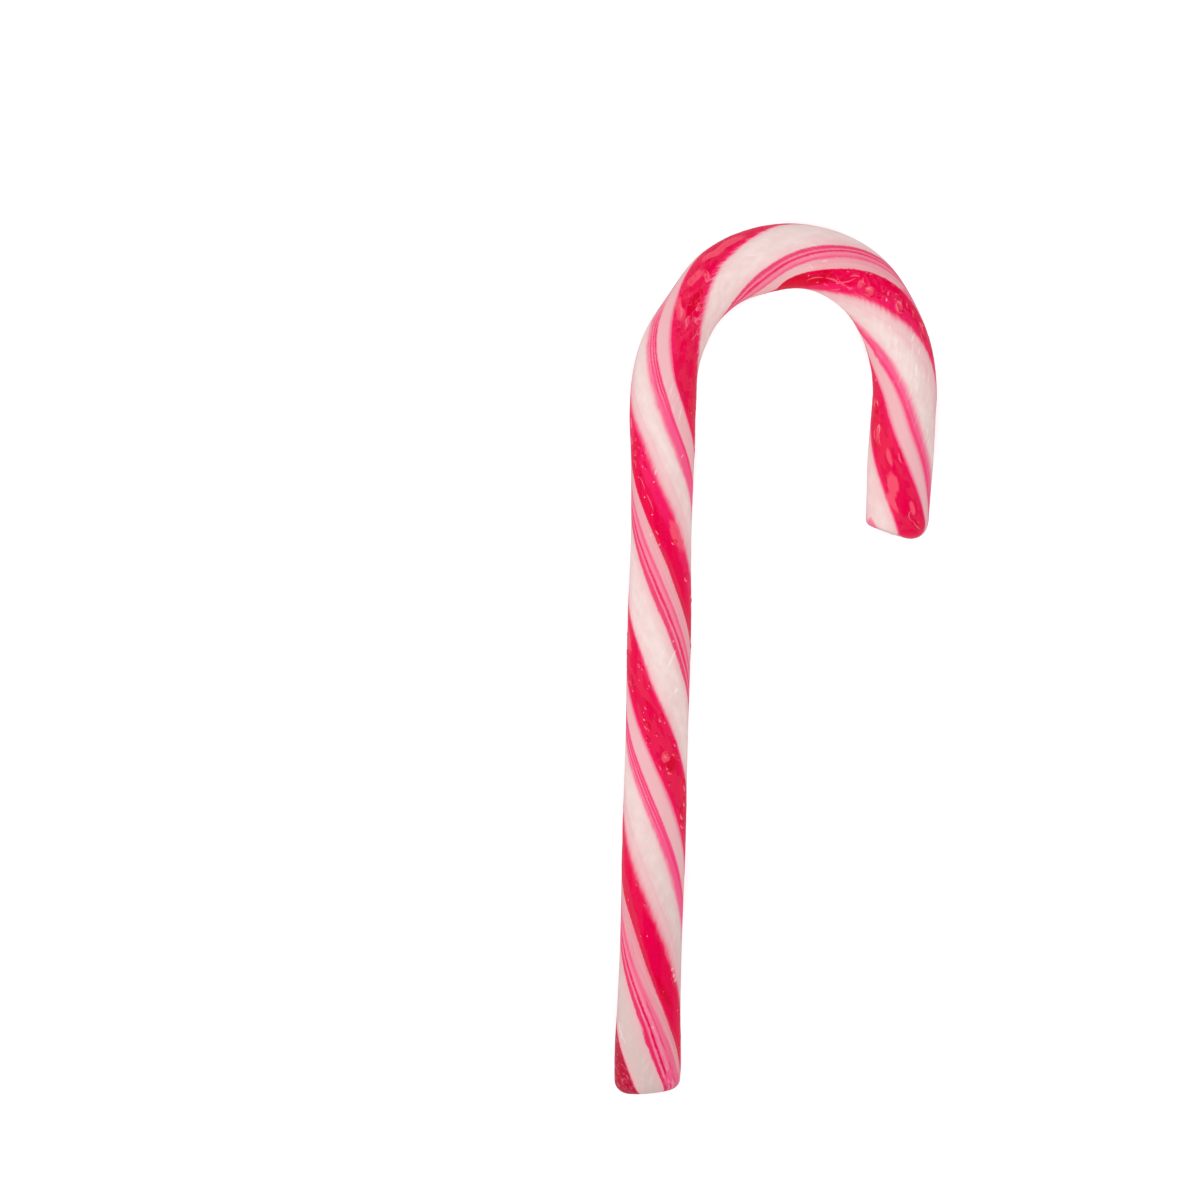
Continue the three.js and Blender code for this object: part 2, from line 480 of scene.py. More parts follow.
def rimShare(along, around, length):
    # How much of the radius is left at the skin: on a rim it is 1 - (1 - sqrt(1 - (1 - d / rim)^2)) * rim /
    # radius, where d is the distance from the cut
    share = np.ones_like(along)
    for end, distance in ((rod["foot"], along), (rod["tip"], length - along)):
        rim = rimOf(end, around)
        way = np.clip(1 - distance / rim, 0, 1)
        share = np.minimum(share, 1 - (1 - np.sqrt(1 - way**2)) * rim / rod["radius"])
    return share


def bendRod(share, along, around, length, raised, roughFace):
    # across = radius * sin(around), up = radius * cos(around), then across is laid off square to the
    # centreline's heading. What would go below the table is pressed flat against it.
    radius = share * (rod["radius"] + humps(along, rod["swells"])) + raised
    across = radius * np.sin(around)
    shift = across * (cutSlope(rod["foot"], along) + cutSlope(rod["tip"], length - along))
    inward = np.where(along < length / 2, roughFace, -roughFace)
    x, y, heading = walkCrook(along + shift + inward)
    right = across + humps(along, rod["strays"])
    middleHeight = rod["radius"] + humps(along, rod["swells"]) - rod["restDepth"]
    z = np.maximum(middleHeight + radius * np.cos(around), 0)
    return np.stack([x + right * np.cos(heading), y - right * np.sin(heading), z], axis=-1), along + shift


def windUp(along, around):
    # The colour angle in degrees: around + perMm * along + drifts, less the nudges, each of which is
    # degrees * exp(-((along - at) / reach)^2 - ((angle - its angle) / its reach)^2)
    angle = np.degrees(around) + twist["perMm"] * along + humps(along, twist["drifts"])
    nudged = np.zeros_like(angle)
    for at, place, degrees, reach, spread in twist["nudges"]:
        aside = wrapped(angle - place)
        nudged += degrees * np.exp(-(((along - at) / reach) ** 2) - (aside / spread) ** 2)
    return angle - nudged


def waveNoise(rng, along, turn, alongCell, turnCells):
    # Gradient noise on a lattice of cells, alongCell long and turnCells to a whole turn, closed round the
    # rod: in each cell the corners' slopes, dotted with the way to each corner, blended by 6t^5-15t^4+10t^3
    spareCells = 8  # before the foot, where a sloping cut reaches
    u = along / alongCell + spareCells
    v = np.mod(turn, 1) * turnCells
    rows = int(u.max()) + 3  # up to the far corners of the last cell
    heading = rng.uniform(0, fullTurn, (rows, turnCells))
    uCell = np.floor(u).astype(int)
    vCell = np.floor(v).astype(int)
    uPart = u - uCell
    vPart = v - vCell

    def corner(uStep, vStep):
        slope = heading[uCell + uStep, (vCell + vStep) % turnCells]
        return np.cos(slope) * (uPart - uStep) + np.sin(slope) * (vPart - vStep)

    uFade = uPart**3 * (uPart * (uPart * 6 - 15) + 10)
    vFade = vPart**3 * (vPart * (vPart * 6 - 15) + 10)
    near = corner(0, 0) * (1 - vFade) + corner(0, 1) * vFade
    far = corner(1, 0) * (1 - vFade) + corner(1, 1) * vFade
    return near * (1 - uFade) + far * uFade


def stripeMask(colourAngle, stripe, blur):
    # 1 inside the stripe and 0 outside, with an S curve blur degrees wide on both edges
    start, end = stripe
    angle = np.mod(colourAngle, 360)
    return smooth(angle, start - blur, start + blur) * (1 - smooth(angle, end - blur, end + blur))


def makeRelief(share, along, around):
    # How far the skin is raised: swell * cos(2 (colour angle - ribbon A's middle)) + step on a ribbon, and
    # height * noise for each kind of wave, or height * (creaseWidth - |noise|) for the sharp wrinkles. And
    # how far the cut faces are: noise, fading out towards the rim.
    rng = np.random.default_rng(relief["seed"])
    colourAngle = windUp(along, around)
    turn = colourAngle / 360
    ribbon = sum(stripeMask(colourAngle, stripe, relief["edgeBlur"]) for stripe in stripes.values())
    middleA = math.radians(sum(stripes["ribbonA"]) / 2)
    height = relief["swell"] * np.cos(2 * (np.radians(colourAngle) - middleA)) + relief["step"] * ribbon
    for cell, count, tall in relief["glassWaves"]:
        height += tall * ribbon * waveNoise(rng, along, turn, cell, count)
    bent = np.clip(humps(along, relief["bends"]), 0, 1)
    onCream = relief["creasesOnCream"]
    for cell, count, tall in relief["creases"]:
        crease = relief["creaseWidth"] - np.abs(waveNoise(rng, along, around / fullTurn, cell, count))
        height += tall * bent * (onCream + (1 - onCream) * ribbon) * crease
    fibrous = 1 - (1 - relief["fibresOnRibbons"]) * ribbon
    for cell, count, tall in relief["fibres"]:
        height += tall * fibrous * waveNoise(rng, along, turn, cell, count)
    outwards = share * rod["radius"]
    rough = sum(
        part * waveNoise(rng, outwards, turn, cell, count) for cell, count, part in relief["faceGrains"]
    )
    nearCut = np.minimum(along, np.max(along) - along)
    atCut = relief["atCut"]
    leftByCut = atCut + (1 - atCut) * smooth(nearCut, 0, relief["cutReach"])
    height *= smooth(share, *relief["rimFade"]) * leftByCut
    return height, relief["faceRough"] * rough * (1 - smooth(share, *relief["faceEdge"]))


def strewCaps(length):
    # All the caps as rows of along, around, half length, half width, height, hollow, lean, curve
    rng = np.random.default_rng(strewing["seed"])
    rows = [bubble + (0,) for bubble in bubbles]
    rows += [fold[:4] + (caps["foldHeight"], 0, fold[4]) for fold in folds]
    rows += [flake[:4] + (caps["flakeHeight"], 0, flake[4]) for flake in flakes]

    def drawn(name, count):
        return rng.uniform(*strewing[name], count)

    def anyPlace(count):
        crowds = np.array(strewing["crowds"])
        middle, reach = crowds[rng.integers(0, len(crowds), count)].T
        at = middle + reach * rng.normal(0, strewing["spread"], count)
        at = np.clip(at, strewing["fromCut"], length - strewing["fromCut"])
        return at, rng.uniform(-strewing["side"], strewing["side"], count)

    def onRibbons(at):
        count = len(at)
        inset = strewing["inset"]
        fromA, fromB = (rng.uniform(start + inset, end - inset, count) for start, end in stripes.values())
        isOnA = rng.random(count) < strewing["onRibbonA"]
        return wrapped(np.where(isOnA, fromA, fromB) - windUp(at, np.zeros(count)))

    for where, count, smallest, largest, tall in strewing["kinds"]:
        at, aside = anyPlace(count)
        if where == "ribbons":
            aside = onRibbons(at)
        halfWidth = rng.uniform(smallest, largest, count)
        halfLength = halfWidth * drawn("stretch", count)
        hollow = drawn("hollow", count)
        lean = drawn("lean", count)
        rows += zip(at, aside, halfLength, halfWidth, halfWidth * tall, hollow, lean)
    count = strewing["flakes"]
    at, aside = anyPlace(count)
    halfLength = drawn("flakeLength", count)
    halfWidth = drawn("flakeWidth", count)
    lean = drawn("flakeLean", count)
    plain = np.zeros(count)
    rows += zip(at, aside, halfLength, halfWidth, plain + caps["flakeHeight"], plain, lean)
    rows = np.array(rows)
    rows = rows[np.abs(rows[:, 1]) < strewing["farthest"]]
    isFold = rows[:, 4] == caps["foldHeight"]
    side = rng.choice([-1, 1], len(rows))
    curve = np.where(isFold, side * rng.uniform(*caps["foldCurve"], len(rows)), 0)
    curve *= np.where(rows[:, 2] > caps["longFold"], caps["longCurve"], 1)
    rows = np.column_stack([rows, curve])
    isWhite = (rows[:, 4] == caps["flakeHeight"]) | (~isFold & (rows[:, 3] < caps["glintSize"]))
    return rows, isFold, isWhite


def shadeCaps(isFold, isWhite):
    # The painted highlight and painted shade of each point of a cap, from -1 to 1. A bubble gets a painted
    # highlight along the side of its rim that faces the foot and painted shade elsewhere: light * lit - dark
    # * (1 - lit), where lit is cos(spoke - litSide).
    spoke = (np.arange(caps["spokes"]) / caps["spokes"] * fullTurn)[None, :]
    lit = np.clip(np.cos(spoke - math.radians(caps["litSide"])), 0, 1)
    light, dark, ofFold = (np.array(caps[name])[:, None] for name in ("rimLight", "rimDark", "foldLight"))
    shade = np.where(isFold[:, None, None], ofFold, light * lit - dark * (1 - lit))
    shade = np.where(isWhite[:, None, None], caps["white"], shade)
    top = np.where(isFold, caps["foldLight"][0], caps["topLight"])
    return shade, np.where(isWhite, caps["white"], top)


def gridFaces(rings, columns, first):
    # The faces of a closed grid whose points start at number first and whose two poles come after them
    ring = np.arange(rings - 1)[:, None] * columns + first
    column = np.arange(columns)[None, :]
    ahead = (column + 1) % columns
    quads = np.stack([ring + column, ring + ahead, ring + columns + ahead, ring + columns + column], axis=-1)
    startPole = first + rings * columns
    lastRing = first + (rings - 1) * columns
    startFan = np.stack([np.full(columns, startPole), first + ahead[0], first + column[0]], axis=-1)
    endFan = np.stack([np.full(columns, startPole + 1), lastRing + column[0], lastRing + ahead[0]], axis=-1)
    return quads.reshape(-1, 4), np.vstack([startFan, endFan])


def skinMesh(name, verts, quads, fans, attributes):
    data = bpy.data.meshes.new(name)
    corners = np.concatenate([quads.ravel(), fans.ravel()]).astype(np.int32)
    sizes = np.concatenate([np.full(len(quads), 4), np.full(len(fans), 3)])
    data.vertices.add(len(verts))
    data.vertices.foreach_set("co", (verts * mm).ravel())
    data.loops.add(len(corners))
    data.loops.foreach_set("vertex_index", corners)
    data.polygons.add(len(sizes))
    data.polygons.foreach_set("loop_start", np.concatenate([[0], np.cumsum(sizes)[:-1]]).astype(np.int32))
    data.polygons.foreach_set("use_smooth", np.ones(len(sizes), dtype=bool))
    for label, values in attributes.items():
        layer = data.attributes.new(label, "FLOAT_VECTOR", "POINT")
        layer.data.foreach_set("vector", values.astype(np.float32).ravel())
    data.update(calc_edges=True)
    data.validate()
    piece = bpy.data.objects.new(name, data)
    bpy.context.scene.collection.objects.link(piece)
    return piece


def spotDepth(spots, along, around):
    # How deep inside a spot: the most of 1 - sqrt((u / half length)^2 + (v / half width)^2), where u and v
    # lie along and across the spot
    depth = np.full_like(along, -1.0)
    for at, aside, halfLength, halfWidth, lean in spots:
        ahead = along - at
        sideways = np.radians(wrapped(np.degrees(around) - aside)) * rod["radius"]
        u = ahead * math.cos(math.radians(lean)) + sideways * math.sin(math.radians(lean))
        v = sideways * math.cos(math.radians(lean)) - ahead * math.sin(math.radians(lean))
        depth = np.maximum(depth, 1 - np.hypot(u / halfLength, v / halfWidth))
    return depth


def makeCane():
    length = sum(run[0] for run in rod["runs"])
    share, along, around = layOutRod(length)
    rings, columns = along.shape
    skin = along.size + 2
    quads, fans = gridFaces(rings, columns, 0)
    rows, isFold, isWhite = strewCaps(length)
    across = rod["radius"] * np.sin(np.radians(rows[:, 1]))
    rows[:, 0] -= across * (cutSlope(rod["foot"], rows[:, 0]) + cutSlope(rod["tip"], length - rows[:, 0]))
    capPlaces = layOutCaps(rows)
    topAlong, topAround, topRaised = (values[:, 0, 0] for values in capPlaces)
    capAlong, capAround, capRaised = (values[:, 1:] for values in capPlaces)
    count, capRings, spokes = capAlong.shape
    capQuads, capFans = gridFaces(capRings, spokes, 0)
    steps = (skin + np.arange(count) * (capRings * spokes + 2))[:, None, None]
    quads = np.vstack([quads, (capQuads + steps).reshape(-1, 4)])
    fans = np.vstack([fans, (capFans + steps).reshape(-1, 3)])

    # one long list of points: the skin, its two poles, then each cap with its top and its sunken bottom
    def listed(skinValues, footPole, tipPole, capValues, tops, bottoms):
        ofCaps = np.concatenate([capValues.reshape(count, -1), tops[:, None], bottoms[:, None]], axis=1)
        return np.concatenate([skinValues.ravel(), [footPole, tipPole], ofCaps.ravel()])

    flush = np.zeros((rings, columns))
    topShare = rimShare(topAlong, topAround, length)
    share = listed(share, 0, 0, rimShare(capAlong, capAround, length), topShare, topShare)
    along = listed(along, 0, length, capAlong, topAlong, topAlong)
    around = listed(around, 0, 0, capAround, topAround, topAround)
    raised = listed(flush, 0, 0, capRaised, topRaised, -rows[:, 4] - caps["sunk"])
    # painted highlight and painted shade of each cap, carried to the material in the shade attribute
    shade, topShade = shadeCaps(isFold, isWhite)
    shine = listed(flush, 0, 0, shade, topShade, 0 * topRaised)

    # the relief and the caps are added to the plain rod, which is set in the middle of the cane's box
    plain = np.zeros_like(along)
    bare, cutAlong = bendRod(share, along, around, length, plain, plain)
    height, roughFace = makeRelief(share, cutAlong, around)
    points, _ = bendRod(share, along, around, length, height + raised, roughFace)
    low, high = (np.array(corner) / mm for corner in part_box("cane"))
    middle = (bare[:skin].min(axis=0) + bare[:skin].max(axis=0)) / 2
    points[:, :2] += ((low + high) / 2 - middle)[:2]

    def rolled(angle):
        # the rod unbent again, with its points turned to this angle; the skin goes on over the rims
        isFoot = cutAlong < length / 2
        rim = np.where(isFoot, rimOf(rod["foot"], around), rimOf(rod["tip"], around))
        radius = np.minimum(share / (1 - rim / rod["radius"]), 1) * rod["radius"]
        return np.stack([radius * np.cos(angle), radius * np.sin(angle), cutAlong], axis=-1)

    def depths(*tables):
        return [spotDepth(table, cutAlong, around) for table in tables]

    bent = np.clip(humps(cutAlong, relief["bends"]), 0, 1)
    attributes = {
        "woundPlace": rolled(np.radians(windUp(cutAlong, around))),
        "leanPlace": rolled(around + np.radians(twist["lean"] * cutAlong)),
        "spots": np.stack(depths(clearSpots, deepSpots, paleSpots), axis=-1),
        "wear": np.stack(depths(stains, scuffs) + [bent], axis=-1),
        "shade": np.stack([humps(cutAlong, dullReach), shine, plain], axis=-1),
    }
    return skinMesh("cane_sugar", points, quads, fans, attributes)


def addNode(tree, kind, **settings):
    node = tree.nodes.new(kind)
    for name, value in settings.items():
        setattr(node, name, value)
    return node


def feed(tree, socket, source):
    # source is another node's output or a plain value
    if isinstance(source, bpy.types.NodeSocket):
        tree.links.new(source, socket)
    else:
        socket.default_value = source


def calc(tree, operation, *sources):
    node = addNode(tree, "ShaderNodeMath", operation=operation)
    for socket, source in zip(node.inputs, sources):
        feed(tree, socket, source)
    return node.outputs[0]


def remap(tree, value, fromLow, fromHigh, toLow=0.0, toHigh=1.0):
    node = addNode(tree, "ShaderNodeMapRange", interpolation_type="SMOOTHSTEP")
    for socket, source in zip(node.inputs, (value, fromLow, fromHigh, toLow, toHigh)):
        feed(tree, socket, source)
    return node.outputs[0]


def tint(tree, amount, under, over):
    node = addNode(tree, "ShaderNodeMix", data_type="RGBA")
    feed(tree, node.inputs["Factor"], amount)
    feed(tree, node.inputs[6], under)
    feed(tree, node.inputs[7], over)
    return node.outputs[2]


def grain(tree, place, stretch, scale, detail, roughness):
    # noise in a place squeezed by stretch on each axis
    squeeze = addNode(tree, "ShaderNodeVectorMath", operation="MULTIPLY")
    feed(tree, squeeze.inputs[0], place)
    squeeze.inputs[1].default_value = stretch
    node = addNode(tree, "ShaderNodeTexNoise", noise_dimensions="3D")
    tree.links.new(squeeze.outputs[0], node.inputs["Vector"])
    node.inputs["Scale"].default_value = scale
    node.inputs["Detail"].default_value = detail
    node.inputs["Roughness"].default_value = roughness
    return node.outputs["Fac"]


def rgb(red, green, blue):
    # a colour as a screen shows it, from 0 to 255, turned to light
    def light(level):
        share = level / 255
        return share / 12.92 if share <= 0.04045 else ((share + 0.055) / 1.055) ** 2.4

    return (light(red), light(green), light(blue), 1.0)


def stripeBandGroup():
    # 1 from Start to End degrees, fading in over Start blur of the Start angle and out over End blur of
    # the End angle, so that the two edges can be ragged in their own ways
    group = bpy.data.node_groups.new("stripeBand", "ShaderNodeTree")
    for label in ("Start angle", "Start", "Start blur", "End angle", "End", "End blur"):
        group.interface.new_socket(label, in_out="INPUT", socket_type="NodeSocketFloat")
    group.interface.new_socket("Mask", in_out="OUTPUT", socket_type="NodeSocketFloat")
    inside = addNode(group, "NodeGroupInput").outputs
    outside = addNode(group, "NodeGroupOutput")
    edges = []
    for side in ("Start", "End"):
        low = calc(group, "SUBTRACT", inside[side], inside[f"{side} blur"])
        high = calc(group, "ADD", inside[side], inside[f"{side} blur"])
        edges.append(remap(group, inside[f"{side} angle"], low, high))
    left = calc(group, "SUBTRACT", 1.0, edges[1])
    group.links.new(calc(group, "MULTIPLY", edges[0], left), outside.inputs["Mask"])
    return group


sugar = {
    "cream": rgb(236, 213, 210),
    "creamShade": rgb(231, 201, 198),
    "creamLight": rgb(243, 226, 222),
    # painted shade: the cream as it looks darker towards the foot
    "paintedFootShade": rgb(209, 182, 178),
    "palePink": rgb(233, 174, 179),
    "rosePink": rgb(236, 116, 145),
    "duskyPink": rgb(228, 138, 152),
    "threadGround": rgb(238, 100, 138),
    "threadLight": rgb(240, 146, 167),
    "thread": rgb(228, 6, 88),
    "warmPink": rgb(242, 88, 136),
    "hotPink": rgb(242, 26, 100),
    "crimson": rgb(223, 9, 71),
    "coral": rgb(230, 36, 78),
    "paleCoral": rgb(242, 84, 110),
    "petal": rgb(244, 62, 104),
    "dullRed": rgb(222, 40, 76),
    "clearRed": rgb(229, 0, 71),
    "deepRed": rgb(212, 0, 44),
    "darkFootRed": rgb(178, 8, 50),
    "shine": rgb(255, 160, 172),
    # white of the painted glints, and of the white streaks in the scuffs
    "glintAndScuffWhite": rgb(255, 240, 238),
    "ior": 1.45,
    "specular": 0.2,
    "mottledGloss": 0.05,  # how much rougher the mottled places are
    "filmDepth": 0.00005,  # metres
    "curlDepth": 0.00006,
    "tornDepth": 0.00004,
    "pitDepth": 0.000017,
}

# Noises: the place they are in, their stretch on its three axes, scale, detail and roughness
noises = {
    "strokes": ("leaning", (1, 1, 0.25), 1.5, 4.0, 0.6),  # lean across the stripes
    "fringe": ("leaning", (1, 1, 0.3), 3.2, 2.0, 0.6),
    "streaks": ("leaning", (1, 1, 0.22), 1.5, 3.0, 0.6),
    "fibres": ("wound", (1, 1, 0.04), 4.0, 3.0, 0.6),  # run along the stripes
    "slow": ("wound", (1, 1, 0.3), 0.4, 2.0, 0.5),
    "film": ("wound", (1, 1, 0.42), 0.75, 3.0, 0.5),  # flat patches in the clear candy
    "mottle": ("wound", (1, 1, 0.6), 0.7, 2.0, 0.5),
    "wander": ("wound", (1, 1, 0.35), 0.8, 2.0, 0.5),
    "grit": ("wound", (1, 1, 0.8), 1.6, 5.0, 0.75),
    "eddies": ("wound", (1, 1, 0.7), 0.8, 1.5, 0.5),
}

# How many degrees the noises sway the stripes' edges
sways = {
    "slow": 4.0,
    "fibres": 2.5,
    "neatFringe": 2.0,
    "fringe": 3.0,
    "bentFringe": 5.0,  # added where it was bent
    "lobes": 22.0,
    "raggedStrokes": 9.0,
    "raggedFilm": 6.0,
    "smear": 12.0,
    "dullEdge": 16.0,
    "clearEdge": 20.0,
}

# The stripes' bands: the kind of edge, colour angle and blur where each starts, and then where it ends
startA, endA = stripes["ribbonA"]
startB, endB = stripes["ribbonB"]
bands = {
    "bledBeforeA": ("near", 35, 17, "near", startA, 2),
    "bledAfterA": ("near", startA, 2, "smeared", endA + 20, 22),
    "bledBeforeB": ("near", 209, 16, "near", startB, 2),
    "bledAfterB": ("near", endB - 4, 2, "ragged", endB + 8, 18),
    "rosyAfterA": ("near", startA, 2, "smeared", endA + 3, 9),
    "rosyBeforeB": ("near", startB - 5, 4, "near", startB, 2),
    "rosyAfterB": ("near", endB - 4, 2, "ragged", endB + 1, 5.5),
    "dusky": ("crisp", 76, 4, "near", startA, 2),
    "threadsA": ("crisp", 45, 3.5, "crisp", 77, 3),
    "threadsB": ("ragged", 212.5, 8, "lobedThreads", 242, 2.5),
    "ribbonA": ("crisp", startA, 1.8, "ragged", endA - 1, 7),
    "ribbonB": ("neat", startB - 0.7, 2.8, "lobed", endB - 0.5, 4.0),
    "dullA": ("near", startA - 8, 2, "dull", startA + 13, 1.5),
    "clearA": ("dull", startA + 13, 1.5, "clear", startA + 30, 5),
    "pinkA": ("near", 114, 13, "near", endA + 12, 6),
    "pinkStartB": ("near", startB - 6, 2, "near", startB + 7, 6),
    "pinkEndB": ("near", endB - 7, 6, "near", endB + 8, 4),
    "footB": ("near", startB - 8, 2, "near", endB + 8, 2),
}
rosyBent = 5.0  # degrees wider where it was bent
softBlurs = (7.0, 5.0)  # added to both blurs of threadsB on the leg

# Threads as colour angle, half width, blur, strength, colour
threads = [
    (49.0, 4.2, 1.8, 0.68, "thread"),
    (55.4, 0.8, 1.0, 0.6, "threadLight"),
    (60.2, 2.2, 1.2, 0.85, "thread"),
    (66.5, 2.0, 1.6, 0.55, "threadLight"),
    (73.0, 1.0, 1.0, 0.45, "thread"),
    (84.0, 0.8, 1.0, 0.2, "thread"),
    (172.0, 1.4, 3.0, 0.2, "rosePink"),
]
innerEdge = [(235.0, 3.4, 2.6, 0.6, "hotPink")]  # of the second band
# and those that show only where the second band is combed out
combed = [
    (219.0, 0.9, 1.0, 0.6, "palePink"),
    (224.5, 0.8, 1.0, 0.5, "thread"),
    (228.5, 0.8, 1.0, 0.7, "palePink"),
    (232.0, 0.9, 1.0, 0.6, "thread"),
    (235.5, 0.7, 1.0, 0.6, "palePink"),
    (238.8, 0.9, 1.0, 0.6, "thread"),
]
combedAt = 54  # along, and again after each turn of the stripes

# How strongly an effect shows: it goes from the third number to the fourth as what drives it goes from the
# first to the second. The driver is named beside each one.
fades = {
    "creamShade": (0.3, 0.75, 0.0, 1.0),  # mottle
    "paintedFootShade": (0, 62, 0.85, 0.0),  # along
    "milky": (0.46, 0.72, 0.0, 0.25),  # strokes
    "crownStart": (137, 142, 0.0, 1.0),  # along, where the cream by the threads is cleaner
    "crownEnd": (157, 163, 1.0, 0.0),
    "bledOnCrown": (0.0, 1.0, 0.9, 0.55),
    "duskyOnCrown": (0.0, 1.0, 1.0, 0.35),
    "duskyFibres": (0.3, 0.7, 0.4, 0.95),  # fibres
    "duskyFoot": (25, 60, 1.0, 0.65),  # along
    "widerFoot": (9, 24, 6.0, 0.0),  # along, in degrees
    "softer": (178, 198, 0.0, 1.0),  # along
    "threadLobes": (150, 165, 0.0, 14.0),  # along, in degrees
    "patchy": (0.36, 0.58, 0.4, 0.0),  # film
    "overTop": (130, 136, 1.0, 0.2),  # along, the second band over the top of the crook
    "afterTop": (158, 168, 0.0, 1.0),
    "brokenThreads": (0.2, 0.5, 0.7, 1.0),  # strokes
    "footThreads": (8, 30, 1.3, 1.0),  # along
    "wandering": (8, 30, 14.0, 5.0),  # along, in degrees
    "combed": (0.5, 1.0, 0.0, 1.0),
    "combedLeg": (180, 196, 1.0, 0.12),  # along
    "stained": (0.0, 0.5, 0.0, 0.85),
    "filmEdge": (0.47, 0.5, 0.0, 1.0),  # film
    "coral": (0.46, 0.5, 0.0, 0.7),
    "clearFilm": (0.37, 0.4, 0.8, 0.0),
    "clearEnd": (36, 62, startA + 46, startA + 30),  # along, in degrees
    "pinkFoot": (36, 62, 0.1875, 0.75),  # along
    "darkerFootB": (8, 17, 0.85, 0.0),  # along
    "grit": (0.5, 0.66, 0.0, 0.55),
    "brushed": (0.5, 0.62, 0.0, 0.4),  # strokes
    "spotted": (-0.05, 0.35, 0.0, 1.0),
    "broken": (0.38, 0.5, 0.0, 1.0),  # film
    "scuffed": (0.0, 0.6, 0.0, 1.0),
    "streaks": (0.5, 0.68, 0.0, 1.0),
    "bubbleDark": (0.0, -1.0, 0.0, 1.0),
    "bubbleLight": (0.0, 1.0, 0.0, 0.6),
    "white": (1.4, 1.9, 0.0, 1.0),
    "core": (0.3, 0.7, 0.0, 1.0),  # slow
    "skin": (4.1, 4.7, 0.0, 1.0),  # mm from the rod's middle
    "gloss": (0.0, 1.0, 0.27, 0.08),  # roughness of the cream and of the clear candy
}
strengths = {
    "rosyBeforeB": 0.8,
    "threadGround": 0.9,
    "pinkB": 0.7,
    "dull": 0.85,
    "litCurl": 0.75,
    "hollow": 0.5,
    "torn": 0.35,
    "tornOnRed": 0.25,
    "glintAndScuffWhite": 0.4,
    "threadGloss": 0.6,
}
# How rough the outlines of the marks are, as shares of their width, and of the core in mm
outlines = {"stain": 0.8, "spot": 1.2, "scuff": 1.4, "core": 1.0}
spotShades = (("clearRed", 1.0), ("deepRed", 0.9), ("paleCoral", 0.85))
# A fold gets a painted highlight on one side of where the eddies cross their middle, and painted shade on
# the other: start, blur, end and blur
foldSides = {"litCurl": (0.5, 0.005, 0.54, 0.04), "hollow": (0.45, 0.04, 0.497, 0.004)}
bentStroke = 2.2  # how much sooner the strokes widen than the wrinkles do


